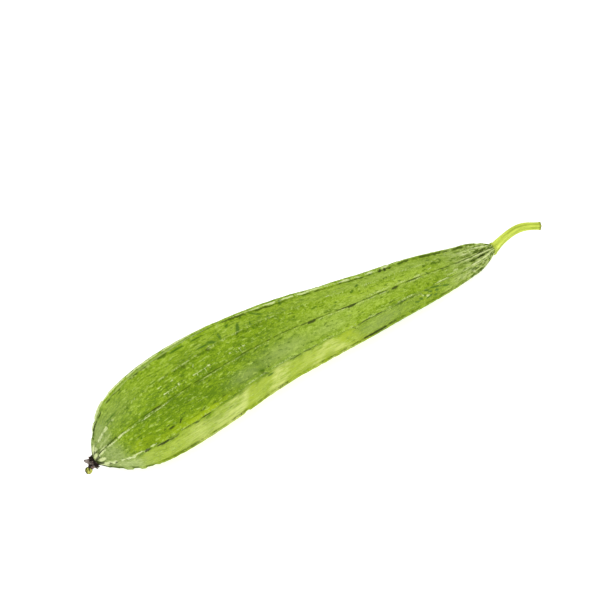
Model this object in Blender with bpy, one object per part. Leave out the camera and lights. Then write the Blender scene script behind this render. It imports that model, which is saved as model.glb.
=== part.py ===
"""A ridge gourd as picked: a ten-ribbed fruit lying on its side, with its stalk and the dried remnant of its flower.

The fruit runs along +X from its flower end to its stalk end, and lies with its bow level, on a flat spot under its
belly. Metres, +Z up. The origin is on the floor, under the middle of the whole gourd's box.
"""

import math

import bmesh
import bpy
import numpy as np
from mathutils import Matrix, Vector

MM = 0.001

# The fruit: its length from beak to shoulder, and its radius at shares of that length
FRUIT_LENGTH = 280 * MM
GIRTH_MM = (
    (0.00, 12.3),
    (0.08, 22.2),
    (0.18, 26.4),
    (0.28, 26.3),
    (0.40, 24.0),
    (0.52, 21.5),
    (0.66, 17.8),
    (0.80, 14.4),
    (0.91, 10.4),
    (1.00, 7.4),
)
# How far the centre line lies to +Y of the X axis, at shares of the length
BOW_MM = (
    (0.00, -4.0),
    (0.06, -4.8),
    (0.16, -4.4),
    (0.30, -1.4),
    (0.44, 0.0),
    (0.60, -3.5),
    (0.75, -5.6),
    (0.90, -6.7),
    (1.00, -5.7),
)
# The two ends are rounded over these shares of the length, down to the beak and to the stalk's seat
FLOWER_CAP, STALK_CAP = 0.077, 0.074
BEAK_RADIUS = 3.3 * MM
SEAT_RADIUS = 3.4 * MM

# Ten ribs, in degrees round the fruit at its flower end and its stalk end: 0 faces -Y, 90 is up. They also wander to
# and fro so often over the length, each out of step with the last
FLOWER_DEGREES = (18, 61, 88, 119, 151, 183, 215, 248, 284, 331)
STALK_DEGREES = (37, 59, 89, 121, 155, 189, 224, 260, 302, 347)
WANDER_DEGREES = 0.8
WANDER_TURNS, WANDER_STEP = 1.3, 0.37
RIB_HEIGHT = 1.15 * MM
RIB_HALF_WIDTH = 1.35 * MM
RIB_MOST_OF_PANEL = 0.3
FULL_RIB_RADIUS = 12 * MM
# How much lower than its ribs the middle of a panel lies, as a share of the radius
PANEL_SAG = ((0.0, 0.075), (0.12, 0.044), (0.70, 0.046), (0.90, 0.085), (1.0, 0.10))
# Low swells, as a share of the radius: waves that run so often along the fruit and round it, and their start
SWELL = 0.005
SWELL_WAVES = ((11, 2, 0.0), (17, -1, 1.1))

# The underside rests on the two ribs that lie this far to either side of straight down, each pressed flat there.
# Past the belly it arches a little clear of the floor
REST_RIB_DEGREES = 19.5
FLAT_DEPTH = 0.55 * MM
ARCH_HEIGHT = 1.5 * MM
ARCH_FROM, ARCH_TO = 0.46, 0.96

STATIONS = 58
PANEL_MIDDLES = (0.26, 0.50, 0.74)
# An end's direction is read over this share of the length
END_STEP = 0.004
# Edges sharper than this aren't shaded smooth
SHARP_DEGREES = 50

# Gap between one piece and the next
GAP = 0.3 * MM

# The stalk: its centre line from the shoulder (along, towards +Y, up) and its radius at shares of its length
STALK_LINE_MM = (
    (0.0, 0.0, 0.0),
    (1.8, 0.0, 0.1),
    (5.2, 0.1, 1.8),
    (9.5, 0.2, 3.9),
    (14.0, 0.0, 5.8),
    (19.5, -0.9, 7.5),
    (24.0, -2.8, 8.4),
    (28.5, -5.4, 8.5),
    (32.3, -7.5, 8.3),
)
STALK_RADIUS_MM = ((0.0, 3.6), (0.1, 3.0), (0.25, 2.65), (0.7, 2.45), (0.92, 2.25), (1.0, 2.3))
STALK_RIDGES, STALK_SIDES, STALK_STATIONS = 5, 20, 30
STALK_RIDGE_SHARE = 0.07

# The dried flower: a shrunken core that droops, with the bead of the old stigma on its end, and five curled sepals.
# The core is given by its distance along and its radius
CORE_MM = ((0.0, 2.7), (0.7, 3.2), (1.6, 2.8), (2.8, 2.0), (4.2, 1.5), (5.4, 1.3))
CORE_SIDES, CORE_VEINS = 20, 5
CORE_PINCH = 0.12
DROOP_DEGREES = 315
DROOP = 1.8 * MM
BEAD_RADIUS = 2.0 * MM
BEAD_DETAIL = 2
BEAD_FROM_SEAT = 6.2 * MM
# Each sepal: degrees round the core, length in mm, how far it leans outward (degrees from the axis)
SEPALS = ((5, 3.4, 74), (75, 3.8, 66), (144, 4.3, 44), (215, 3.5, 76), (285, 3.0, 80))
SEPAL_ROOT, SEPAL_ROOT_OUT = 1.2 * MM, 0.8 * MM
SEPAL_IN_CORE = 1.6 * MM
SEPAL_WIDTH = 2.1 * MM
SEPAL_THICKNESS = 0.8 * MM
SEPAL_NARROWING, SEPAL_TAPER = 0.7, 1.5
SEPAL_CURL = 0.25
SEPAL_SIDES, SEPAL_STATIONS = 8, 7

# Colour and roughness
SKIN_FINISH = (0.24, 0.40, 0.045, 1), 0.45
STALK_FINISH = (0.50, 0.64, 0.09, 1), 0.5
DRIED_FINISH = (0.10, 0.055, 0.03, 1), 0.85


def clear_scene():
    for old in list(bpy.data.objects):
        bpy.data.objects.remove(old)


def material(name, finish):
    colour, roughness = finish
    made = bpy.data.materials.new(name)
    made.use_nodes = True
    shader = made.node_tree.nodes["Principled BSDF"]
    shader.inputs["Base Color"].default_value = colour
    shader.inputs["Roughness"].default_value = roughness
    shader.inputs["Metallic"].default_value = 0
    return made


def spline(knots, at):
    """A natural cubic spline through (place, value) knots, read at each place."""
    x, y = np.array(knots, float).T
    step = np.diff(x)
    count = len(x)
    system = np.eye(count)
    bend = np.zeros(count)
    for i in range(1, count - 1):
        system[i, i - 1 : i + 2] = step[i - 1], 2 * (step[i - 1] + step[i]), step[i]
        bend[i] = 6 * ((y[i + 1] - y[i]) / step[i] - (y[i] - y[i - 1]) / step[i - 1])
    bend = np.linalg.solve(system, bend)
    at = np.asarray(at, float)
    i = np.clip(np.searchsorted(x, at, side="right") - 1, 0, count - 2)
    after, before, wide = at - x[i], x[i + 1] - at, step[i]
    return (
        (bend[i] * before**3 + bend[i + 1] * after**3) / (6 * wide)
        + (y[i] / wide - bend[i] * wide / 6) * before
        + (y[i + 1] / wide - bend[i + 1] * wide / 6) * after
    )


def rounded(share):
    """0 to 1 along a quarter of an ellipse."""
    return np.sqrt(1 - (1 - np.clip(share, 0, 1)) ** 2)


def fruit_radius(s):
    """The fruit's radius between ribs at shares of its length, with its round ends, beak and seat."""
    girth = spline(GIRTH_MM, s) * MM
    cap = rounded(s / FLOWER_CAP) * rounded((1 - s) / STALK_CAP)
    least = BEAK_RADIUS + (SEAT_RADIUS - BEAK_RADIUS) * s
    return np.cbrt((girth * cap) ** 3 + least**3)


def fruit_line(s):
    """Points of the fruit's centre line. Its height keeps the underside level, and arched towards the stalk."""
    girth = spline(GIRTH_MM, s) * MM
    arch = ARCH_HEIGHT * np.sin(math.pi * np.clip((s - ARCH_FROM) / (ARCH_TO - ARCH_FROM), 0, 1)) ** 2
    height = (girth + RIB_HEIGHT) * math.cos(math.radians(REST_RIB_DEGREES)) - FLAT_DEPTH + arch
    return np.stack([s * FRUIT_LENGTH, spline(BOW_MM, s) * MM, height], axis=-1)


def rib_angles(s):
    """The angle of each rib at one station, and of the first rib again after a full turn."""
    number = np.arange(len(FLOWER_DEGREES))
    wander = WANDER_DEGREES * np.sin(2 * math.pi * (WANDER_TURNS * s + WANDER_STEP * number))
    angles = np.radians((1 - s) * np.array(FLOWER_DEGREES) + s * np.array(STALK_DEGREES) + wander)
    return np.append(angles, angles[0] + 2 * math.pi)


def frames(line):
    """Tangent, side (towards +Y) and up vectors along a line of points."""
    tangent = np.gradient(line, axis=0)
    tangent /= np.linalg.norm(tangent, axis=1)[:, None]
    side = np.cross((0.0, 0.0, 1.0), tangent)
    side /= np.linalg.norm(side, axis=1)[:, None]
    return tangent, side, np.cross(tangent, side)


def section(s, radius, fractions):
    """Angles and radii round one station: for each panel, points at the given shares of it, from its first rib."""
    angles = rib_angles(s)
    sag = np.interp(s, *zip(*PANEL_SAG))
    height = RIB_HEIGHT * min(1, radius / FULL_RIB_RADIUS)
    around, out = [], []
    for first, last in zip(angles[:-1], angles[1:]):
        wide = (last - first) * radius
        half_width = min(RIB_HALF_WIDTH, RIB_MOST_OF_PANEL * wide)
        f = fractions(half_width / wide)
        from_rib = np.minimum(f, 1 - f) * wide
        rib = np.cos(math.pi / 2 * np.clip(from_rib / half_width, 0, 1)) ** 2
        angle = first + (last - first) * f
        waves = [np.sin(length_turns * s + turns * angle + start) for length_turns, turns, start in SWELL_WAVES]
        swell = 1 + SWELL * np.mean(waves, axis=0)
        around.append(angle)
        out.append(radius * swell * (1 - sag * 4 * f * (1 - f)) + height * rib)
    return np.concatenate(around), np.concatenate(out)


def coarse_fractions(rib_share):
    """Where a panel's points stand: on its rib, down the rib's side, over the panel and up the next rib's side."""
    return np.array([0, rib_share / 2, rib_share, *PANEL_MIDDLES, 1 - rib_share, 1 - rib_share / 2])


def fruit_rings():
    """Rings of points over the fruit, flower end first, pressed flat where they would pass through the floor."""
    s = (1 - np.cos(np.linspace(0, math.pi, STATIONS))) / 2
    line = fruit_line(s)
    _, side, up = frames(line)
    rings = []
    for i, (share, radius) in enumerate(zip(s, fruit_radius(s))):
        angle, out = section(share, radius, coarse_fractions)
        ring = line[i] + out[:, None] * (np.sin(angle)[:, None] * up[i] - np.cos(angle)[:, None] * side[i])
        ring[:, 2] = np.maximum(ring[:, 2], 0)
        rings.append(ring)
    return rings


def loft(name, rings, finish):
    """One closed solid through rings of equal count, capped flat at both ends."""
    shape = bmesh.new()
    loops = [[shape.verts.new(point) for point in ring] for ring in rings]
    for near, far in zip(loops[:-1], loops[1:]):
        for i in range(len(near)):
            j = (i + 1) % len(near)
            shape.faces.new((near[i], near[j], far[j], far[i]))
    shape.faces.new(loops[0])
    shape.faces.new(loops[-1])
    bmesh.ops.recalc_face_normals(shape, faces=shape.faces)
    mesh = bpy.data.meshes.new(name)
    shape.to_mesh(mesh)
    shape.free()
    mesh.materials.append(finish)
    mesh.shade_smooth()
    mesh.set_sharp_from_angle(angle=math.radians(SHARP_DEGREES))
    made = bpy.data.objects.new(name, mesh)
    bpy.context.scene.collection.objects.link(made)
    return made


def make_fruit():
    return loft("fruit", fruit_rings(), material("gourd_skin", SKIN_FINISH))


def end_frame(share):
    """Centre, outward direction, side and up at the fruit's flower end (share 0) or stalk end (share 1)."""
    s = np.array([0, END_STEP]) if share == 0 else np.array([1 - END_STEP, 1])
    line = fruit_line(s)
    tangent, side, up = frames(line)
    return (line[0], -tangent[0], -side[0], up[0]) if share == 0 else (line[1], tangent[1], side[1], up[1])


def make_stalk():
    """A five-sided stalk on the shoulder, rising and then bending over to its cut end."""
    seat, out, side, up = end_frame(1)
    knots = np.array(STALK_LINE_MM) * MM
    t = np.append(0, np.cumsum(np.linalg.norm(np.diff(knots, axis=0), axis=1)))
    t /= t[-1]
    shares = np.linspace(0, 1, STALK_STATIONS)
    along, across, rise = (spline(np.stack([t, knots[:, i]], axis=1), shares) for i in range(3))
    line = seat + (along + GAP)[:, None] * out + across[:, None] * side + rise[:, None] * up
    _, stalk_side, stalk_up = frames(line)
    angle = np.arange(STALK_SIDES) * 2 * math.pi / STALK_SIDES
    ridge = 1 + STALK_RIDGE_SHARE * np.cos(STALK_RIDGES * angle)
    rings = []
    for i, radius in enumerate(spline(STALK_RADIUS_MM, shares) * MM):
        away = np.cos(angle)[:, None] * stalk_side[i] + np.sin(angle)[:, None] * stalk_up[i]
        rings.append(line[i] + radius * ridge[:, None] * away)
    return loft("stalk", rings, material("gourd_stalk", STALK_FINISH))


def drooped(along):
    """The middle of the core at this distance from its seat."""
    droop = DROOP * (along / BEAD_FROM_SEAT) ** 2
    turn = math.radians(DROOP_DEGREES)
    return np.array([droop * math.cos(turn), droop * math.sin(turn), along])


def make_core():
    """The shrunken flower base, drawn in between its five veins."""
    angle = np.arange(CORE_SIDES) * 2 * math.pi / CORE_SIDES
    pinch = 1 + CORE_PINCH * np.cos(CORE_VEINS * angle)
    ring = np.stack([pinch * np.cos(angle), pinch * np.sin(angle), 0 * angle], axis=1)
    rings = [drooped(along * MM) + radius * MM * ring for along, radius in CORE_MM]
    return loft("dried_blossom", rings, material("gourd_dried_flower", DRIED_FINISH))


def make_bead(finish):
    """The old stigma, a bead on the end of the core."""
    shape = bmesh.new()
    bmesh.ops.create_icosphere(shape, subdivisions=BEAD_DETAIL, radius=BEAD_RADIUS)
    bmesh.ops.translate(shape, verts=shape.verts, vec=drooped(BEAD_FROM_SEAT))
    mesh = bpy.data.meshes.new("bead")
    shape.to_mesh(mesh)
    shape.free()
    mesh.materials.append(finish)
    return bpy.data.objects.new("bead", mesh)


def make_sepal(degrees, length_mm, lean_degrees, finish):
    """One dried sepal: a thin blade rooted in the core, leaning out and curling back at its tip."""
    turn, lean = math.radians(degrees), math.radians(lean_degrees)
    outward = np.array([math.cos(turn), math.sin(turn), 0])
    across = np.array([-math.sin(turn), math.cos(turn), 0])
    axis = np.array([0, 0, 1.0])
    blade = outward * math.sin(lean) + axis * math.cos(lean)
    length = length_mm * MM + SEPAL_IN_CORE
    shares = np.linspace(0, 1, SEPAL_STATIONS)
    curl = SEPAL_CURL * length * shares**2
    line = SEPAL_ROOT * axis + SEPAL_ROOT_OUT * outward + shares[:, None] * length * blade - curl[:, None] * axis
    face = np.cross(blade, across)
    angle = np.arange(SEPAL_SIDES) * 2 * math.pi / SEPAL_SIDES
    rings = []
    for point, share in zip(line, shares):
        half = SEPAL_WIDTH / 2 * (1 - SEPAL_NARROWING * share**SEPAL_TAPER)
        thick = SEPAL_THICKNESS / 2
        rings.append(point + half * np.cos(angle)[:, None] * across + thick * np.sin(angle)[:, None] * face)
    made = loft("sepal", rings, finish)
    bpy.context.scene.collection.objects.unlink(made)
    return made


def make_dried_blossom():
    """Core, bead and sepals as one solid, set on the fruit's beak."""
    core = make_core()
    finish = core.data.materials[0]
    pieces = bpy.data.collections.new("blossom_pieces")
    pieces.objects.link(make_bead(finish))
    for degrees, length_mm, lean_degrees in SEPALS:
        pieces.objects.link(make_sepal(degrees, length_mm, lean_degrees, finish))
    join = core.modifiers.new("join", "BOOLEAN")
    join.operation = "UNION"
    join.operand_type = "COLLECTION"
    join.collection = pieces
    bpy.context.view_layer.objects.active = core
    bpy.ops.object.modifier_apply(modifier="join")
    for piece in list(pieces.objects):
        bpy.data.objects.remove(piece)
    bpy.data.collections.remove(pieces)
    seat, out, side, up = end_frame(0)
    place = Matrix(np.stack([side, up, out]).T.tolist()).to_4x4()
    place.translation = Vector(seat + GAP * out)
    core.data.transform(place)
    core.data.update()
    return core


def stand_over_origin(parts):
    """Moves the parts together in X and Y, so that the origin is under the middle of their box."""
    points = np.array([corner.co for part in parts for corner in part.data.vertices])
    middle = (points.min(axis=0) + points.max(axis=0)) / 2
    for part in parts:
        part.location = (-middle[0], -middle[1], 0)


def main():
    clear_scene()
    stand_over_origin([make_fruit(), make_stalk(), make_dried_blossom()])


main()
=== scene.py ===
"""The looks of a ridge gourd: a fine skin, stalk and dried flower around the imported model, with a plain studio stage.

Laid out as an add-on and run as a script. Metres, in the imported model's frame: +X towards the stalk, +Z up.
"""

import math
from functools import reduce

import bmesh
import bpy
import numpy as np
from bpy.props import FloatProperty, FloatVectorProperty, PointerProperty
from mathutils import Matrix, Vector, noise


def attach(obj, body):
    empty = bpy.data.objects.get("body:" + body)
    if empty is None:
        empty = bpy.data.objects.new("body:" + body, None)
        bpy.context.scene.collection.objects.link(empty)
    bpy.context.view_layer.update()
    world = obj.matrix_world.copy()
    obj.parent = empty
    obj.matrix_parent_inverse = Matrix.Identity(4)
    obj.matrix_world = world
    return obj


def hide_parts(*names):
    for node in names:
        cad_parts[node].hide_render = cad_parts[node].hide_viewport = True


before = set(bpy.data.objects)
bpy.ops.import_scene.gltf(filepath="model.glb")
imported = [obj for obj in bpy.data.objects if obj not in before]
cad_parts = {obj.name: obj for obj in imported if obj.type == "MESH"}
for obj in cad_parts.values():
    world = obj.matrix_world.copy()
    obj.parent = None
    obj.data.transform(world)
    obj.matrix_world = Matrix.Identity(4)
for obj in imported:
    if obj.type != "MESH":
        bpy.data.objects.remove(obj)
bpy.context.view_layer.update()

bl_info = {
    "name": "Ridge gourd",
    "version": (1, 0, 0),
    "blender": (4, 5, 0),
    "location": "View3D > Sidebar > Gourd",
    "description": "Grows a ridge gourd's skin, stalk and dried flower, and sets a studio stage round it",
    "category": "Add Mesh",
}

MM = 0.001

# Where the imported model's beak stands: the source's own origin, seen from the row's origin
SHIFT = np.array([-0.153661, 0.002063, 0.0])

# The fruit, as in the part's source
FRUIT_LENGTH = 280 * MM
GIRTH_MM = (
    (0, 12.3), (0.08, 22.2), (0.18, 26.4), (0.28, 26.3), (0.4, 24), (0.52, 21.5), (0.66, 17.8), (0.8, 14.4),
    (0.91, 10.4), (1, 7.4),
)
BOW_MM = (
    (0, -4), (0.06, -4.8), (0.16, -4.4), (0.3, -1.4), (0.44, 0), (0.6, -3.5), (0.75, -5.6), (0.9, -6.7),
    (1, -5.7),
)
FLOWER_CAP, STALK_CAP = 0.077, 0.074
BEAK_RADIUS = 3.3 * MM
SEAT_RADIUS = 3.4 * MM
FLOWER_DEGREES = (18, 61, 88, 119, 151, 183, 215, 248, 284, 331)
STALK_DEGREES = (37, 59, 89, 121, 155, 189, 224, 260, 302, 347)
RIBS = len(FLOWER_DEGREES)
WANDER_DEGREES = 0.8
RIB_HALF_WIDTH = 1.35 * MM
RIB_MOST_OF_PANEL = 0.3
FULL_RIB_RADIUS = 12 * MM
PANEL_SAG = ((0, 0.075), (0.12, 0.044), (0.70, 0.046), (0.90, 0.085), (1, 0.10))
SWELL = 0.005
RIB_HEIGHT = 1.15 * MM
REST_RIB_DEGREES = 19.5
FLAT_DEPTH = 0.55 * MM
ARCH_HEIGHT = 1.5 * MM
ARCH_FROM, ARCH_TO = 0.46, 0.96
GAP = 0.3 * MM
END_STEP = 0.004  # the share of its length over which an end's direction is taken

# The skin's mesh: points along it, and in each panel up a rib's side, over the panel and up the next rib's side
SKIN_STATIONS = 356
RIB_POINTS, PANEL_POINTS = 8, 12
RIB_POINTS_REACH, RIB_POINTS_MOST = 1.8, 0.42  # in half widths of the rib, and at most this share of the panel
# Rib coordinates above this one are counted down from rib 0 instead
HIGHEST_RIB_COORDINATE = 5.5
# Edges between faces that meet more sharply than this stay sharp
SHARP_DEGREES = 62
# Zones of the skin's relief: the shares of the length at which each begins and is full. Ribs give way to beads in the
# last, and the tip's veins end at the beak.
NECK, EXTRA_RIBS, SHOULDER = (0.83, 0.95), (0.80, 0.93), (0.997, 0.97)
TIP, BEAK, BEADED = (0.085, 0.02), (0, 0.010), (0.12, 0.05)
# Squeezed this much along or across the fruit, a noise's lumps are drawn out that way. Noise that changes only along
# the ribs has them this far apart, in metres.
DRAWN_ALONG, DRAWN_ACROSS = (0.22, 1, 1), (1, 0.25, 0.25)
RIBS_APART = (0.13, 0.07)
# Furrows of the neck, between two ribs: share of the panel and breadth
FURROWS = ((0.40, 0.07), (0.62, 0.07))

# The stalk, as in the part's source
STALK_LINE_MM = (
    (0, 0, 0), (1.8, 0, 0.1), (5.2, 0.1, 1.8), (9.5, 0.2, 3.9), (14, 0, 5.8), (19.5, -0.9, 7.5),
    (24, -2.8, 8.4), (28.5, -5.4, 8.5), (32.3, -7.5, 8.3),
)
STALK_RADIUS_MM = ((0, 3.6), (0.1, 3), (0.25, 2.65), (0.7, 2.45), (0.92, 2.25), (1, 2.3))
STALK_RIDGES, STALK_SIDES, STALK_STATIONS = 5, 80, 150
# The ridges' turn puts a ridge near the side that faces the camera, and its pale colour there is a painted highlight
STALK_RIDGE_DEGREES = 142
STALK_MEAN_RADIUS = 2.5 * MM
# Its cut end, from this share of its length: rings of smaller radius, as shares, and how far each stands out in mm,
# from a rounded rim to the sunken pith
CUT_FROM = 0.955
CUT_RINGS = ((0.96, 0.10), (0.86, 0.06), (0.70, -0.12), (0.50, -0.30), (0.30, -0.42), (0.12, -0.48))

# The dried flower, a little finer than in the part's source: its core as distance from the seat and radius, the bead,
# and each sepal's length in mm with its turn, lean and twist in degrees
CORE_MM = ((-0.9, 2.5), (-0.3, 3.2), (0.4, 3.3), (1.3, 3.6), (2, 2.9), (2.8, 2), (4.2, 1.5), (5.4, 1.3))
CORE_SIDES, CORE_STATIONS = 64, 56
DROOP_DEGREES = 315
DROOP = 1.8 * MM
BEAD_RADIUS = 2.0 * MM
BEAD_FROM_SEAT = 6.2 * MM
SEPALS = ((5, 5, 74, 25), (5.4, 75, 66, -35), (6, 144, 34, 72), (5.1, 215, 76, -20), (4.6, 285, 80, 30))
SEPAL_SIDES, SEPAL_STATIONS = 24, 26
SEPAL_HALF_WIDTH, SEPAL_HALF_THICKNESS = 1.6 * MM, 0.42 * MM
SEPAL_CURL = 0.25  # how far the tip hangs back, as a share of the length
# The side of the bead painted dark as shade, in the seat's frame (side, up, out)
BEAD_SHADED_SIDE = (-0.40, 0.25, 0.88)
BEAD_LOBES = 3

# Each rib's look: the side that is dark (+1 faces the next rib), how dark it is there, how pale its crest is, and how
# far both lines stand towards the dark side, in mm. The dark line is painted shade, partly the rib's own dark edge, and
# the pale crest line is a painted highlight, partly the crest's own pale colour.
RIB_LOOKS = (
    (-1, 0.95, 0.3, 0), (1, 0.8, 0.32, 0), (1, 0.14, 0.28, 0), (-1, 1, 1, 0.15), (1, 0.7, 0.3, 0),
    (1, 0.8, 0.35, 0), (-1, 0.8, 0.35, 0), (-1, 0.5, 0.3, 0), (1, 0.5, 0.3, 0), (1, 0.55, 0.5, 0.3),
)
# The rib near the top has lines that wander from side to side of its crest: their shift along its length, in mm. It
# moves that rib's painted highlight and painted shade lines.
TOP_RIB = 3
TOP_RIB_SHIFT = (
    (0, -0.3), (0.04, -0.4), (0.07, -0.65), (0.3, -0.65), (0.38, 0), (0.45, 0.6), (0.62, 0.7), (0.7, 0.9),
    (0.78, 0.2), (1, 0.15),
)
# Marks on the skin. A place is a rib coordinate (rib 0 is the lower one that shows, and they count up round the top)
# and a share of the length from the flower end. Each stroke runs from one place to another, then has its width and its
# strength, all as whole numbers: hundredths of a rib coordinate, thousandths of the length, tenths of a mm, and
# hundredths. Dark strokes from the strength NICK up are cuts and nicks. Of the weaker ones, those from the width
# WIDE_STROKE up are soft green smudges, and the others are dark dashes.
STROKE_UNITS = (100, 1000, 100, 1000, 10, 100)
NICK = 1.3
WIDE_STROKE = 1.4
# The dark strokes along the lower outline, near rib coordinate -0.94, are painted shade. The dashes close beside the
# ribs, on their dark sides, are partly painted shade.
DARK_STROKES = (
    (103, 16, 102, 28, 9, 120), (103, 38, 103, 50, 9, 110), (105, 60, 104, 70, 8, 100), (103, 104, 103, 115, 8, 100),
    (102, 122, 101, 136, 11, 150), (103, 160, 102, 172, 8, 80), (103, 185, 102, 197, 8, 80), (98, 205, 97, 225, 8, 70),
    (102, 310, 101, 330, 8, 80), (102, 473, 102, 488, 10, 110), (99, 491, 99, 508, 14, 170),
    (105, 574, 103, 590, 11, 140), (100, 589, 102, 608, 15, 170), (102, 640, 101, 650, 9, 100),
    (100, 662, 102, 690, 9, 90), (98, 700, 100, 714, 14, 170), (102, 735, 103, 775, 11, 120),
    (102, 785, 104, 800, 10, 90), (102, 825, 103, 850, 9, 90), (102, 870, 103, 885, 9, 90),
    (116, 14, 108, 26, 10, 140), (175, 4, 170, 14, 12, 150), (95, 12, 80, 10, 12, 140), (10, 3, 12, 10, 16, 140),
    (-50, 3, -50, 7, 22, 140), (220, 3, 205, 10, 16, 140), (95, 4, 98, 9, 10, 130), (2, 6, 2, 15, 10, 110),
    (-2, 19, -2, 22, 15, 170), (-2, 28, -2, 31, 15, 170), (-35, 85, -55, 90, 26, 45), (-30, 130, -32, 140, 18, 50),
    (-45, 132, -50, 137, 16, 50), (-60, 150, -55, 155, 15, 45), (-42, 165, -45, 172, 14, 50),
    (-75, 118, -80, 125, 18, 45), (-30, 186, -34, 196, 12, 45), (-70, 345, -60, 352, 16, 40),
    (-35, 570, -50, 578, 18, 50), (-65, 585, -80, 592, 18, 50), (0, 45, 0, 52, 9, 100), (1, 78, 0, 86, 16, 140),
    (-8, 100, -10, 119, 20, 150), (-12, 121, -12, 140, 10, 120), (-4, 146, -6, 165, 11, 135),
    (-6, 168, -12, 184, 11, 120), (-7, 190, -9, 210, 12, 135), (-13, 213, -15, 245, 9, 130),
    (-15, 250, -13, 278, 10, 120), (-12, 345, -22, 380, 14, 100), (10, 340, -10, 360, 12, 90),
    (-8, 425, -8, 452, 13, 120), (-5, 460, -10, 480, 11, 110), (-5, 488, -5, 500, 12, 120), (-3, 520, -8, 535, 10, 70),
    (-3, 550, -6, 566, 10, 80), (-2, 585, -30, 602, 12, 90), (-6, 600, -3, 630, 15, 130), (-3, 640, -4, 660, 12, 140),
    (-6, 680, -3, 690, 10, 110), (-5, 700, -8, 725, 10, 140), (-8, 735, -20, 770, 12, 90),
    (-40, 762, -56, 771, 19, 120), (-62, 783, -56, 796, 22, 125), (-38, 806, -48, 814, 22, 120),
    (-35, 826, -52, 845, 18, 110), (-30, 905, -35, 930, 16, 90), (-94, 616, -95, 672, 10, 135),
    (-92, 680, -94, 700, 13, 120), (-12, 792, -30, 822, 16, 120), (-48, 750, -60, 762, 18, 120),
    (-36, 775, -42, 777, 18, 125), (-28, 786, -36, 796, 18, 125), (-66, 803, -72, 812, 18, 110),
    (-10, 775, -22, 790, 14, 100), (23, 127, 22, 139, 12, 160), (20, 149, 29, 155, 12, 160),
    (26, 120, 26, 124, 9, 100), (16, 168, 17, 174, 10, 80), (15, 192, 13, 203, 11, 120), (12, 220, 14, 228, 9, 80),
    (13, 243, 12, 252, 9, 80), (14, 262, 10, 272, 9, 70), (45, 84, 48, 86, 16, 80), (15, 342, 10, 352, 14, 90),
    (20, 362, 2, 368, 10, 90), (85, 375, 85, 385, 18, 80), (67, 365, 66, 370, 12, 80), (70, 405, 62, 412, 8, 60),
    (50, 790, 50, 800, 16, 50), (70, 905, 66, 912, 12, 80), (55, 918, 50, 926, 15, 120), (50, 940, 46, 966, 9, 150),
    (22, 948, 20, 962, 7, 100), (75, 944, 72, 960, 6, 100), (122, 944, 130, 962, 8, 150), (145, 955, 160, 970, 7, 130),
    (170, 135, 162, 150, 14, 60), (180, 160, 172, 172, 13, 70), (166, 165, 162, 180, 16, 60),
    (170, 195, 150, 198, 13, 60), (180, 220, 150, 228, 12, 70), (162, 213, 160, 222, 12, 70),
    (195, 205, 185, 215, 12, 80), (197, 265, 193, 275, 12, 110), (185, 280, 180, 283, 15, 60),
    (150, 270, 142, 280, 12, 50), (155, 315, 150, 322, 10, 70), (148, 327, 136, 334, 10, 90),
    (195, 376, 185, 382, 15, 110), (155, 385, 150, 395, 14, 60), (160, 400, 155, 408, 12, 60),
    (185, 470, 180, 476, 13, 80), (145, 465, 140, 475, 20, 60), (166, 515, 174, 530, 14, 90),
    (160, 568, 158, 575, 14, 90), (140, 560, 142, 572, 18, 60), (186, 614, 192, 620, 14, 110),
    (130, 790, 110, 798, 15, 90), (155, 865, 150, 868, 12, 90), (155, 877, 150, 880, 11, 90),
    (145, 912, 130, 915, 11, 60), (296, 30, 296, 44, 9, 130), (297, 52, 297, 60, 9, 110),
    (297.5, 77, 297.5, 86, 8, 110), (298, 101, 298, 108, 8, 110), (298, 128, 298, 146, 8, 110),
    (298, 152, 298, 173, 8, 110), (297.5, 188, 298, 212, 8, 120), (230, 58, 220, 66, 22, 80),
    (222, 66, 222, 78, 24, 80), (212, 125, 220, 130, 16, 50), (215, 135, 210, 160, 20, 50),
    (250, 120, 245, 124, 16, 50), (293, 215, 292, 245, 14, 100), (290, 262, 288, 285, 15, 100),
    (242, 232, 240, 240, 16, 60), (230, 255, 225, 280, 24, 110), (235, 283, 215, 293, 36, 115),
    (205, 262, 202, 278, 10, 100), (210, 306, 255, 314, 20, 105), (275, 310, 270, 316, 16, 80),
    (268, 338, 280, 345, 24, 125), (202, 345, 260, 362, 26, 110), (210, 378, 240, 386, 16, 100),
    (285, 376, 295, 382, 14, 90), (295, 402, 255, 420, 28, 95), (205, 418, 230, 428, 16, 95),
    (280, 468, 295, 472, 24, 125), (260, 510, 250, 515, 16, 60), (290, 530, 280, 535, 14, 60),
    (203, 555, 203, 572, 9, 110), (205, 630, 235, 641, 17, 120), (295, 610, 298, 620, 12, 90),
    (285, 683, 288, 690, 18, 120), (280, 706, 290, 712, 19, 160), (272, 719, 290, 722, 17, 160),
    (278, 730, 285, 734, 16, 140), (290, 755, 285, 762, 14, 70), (285, 845, 280, 850, 16, 70),
    (260, 865, 250, 870, 14, 60), (230, 940, 250, 955, 24, 70),
)
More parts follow.
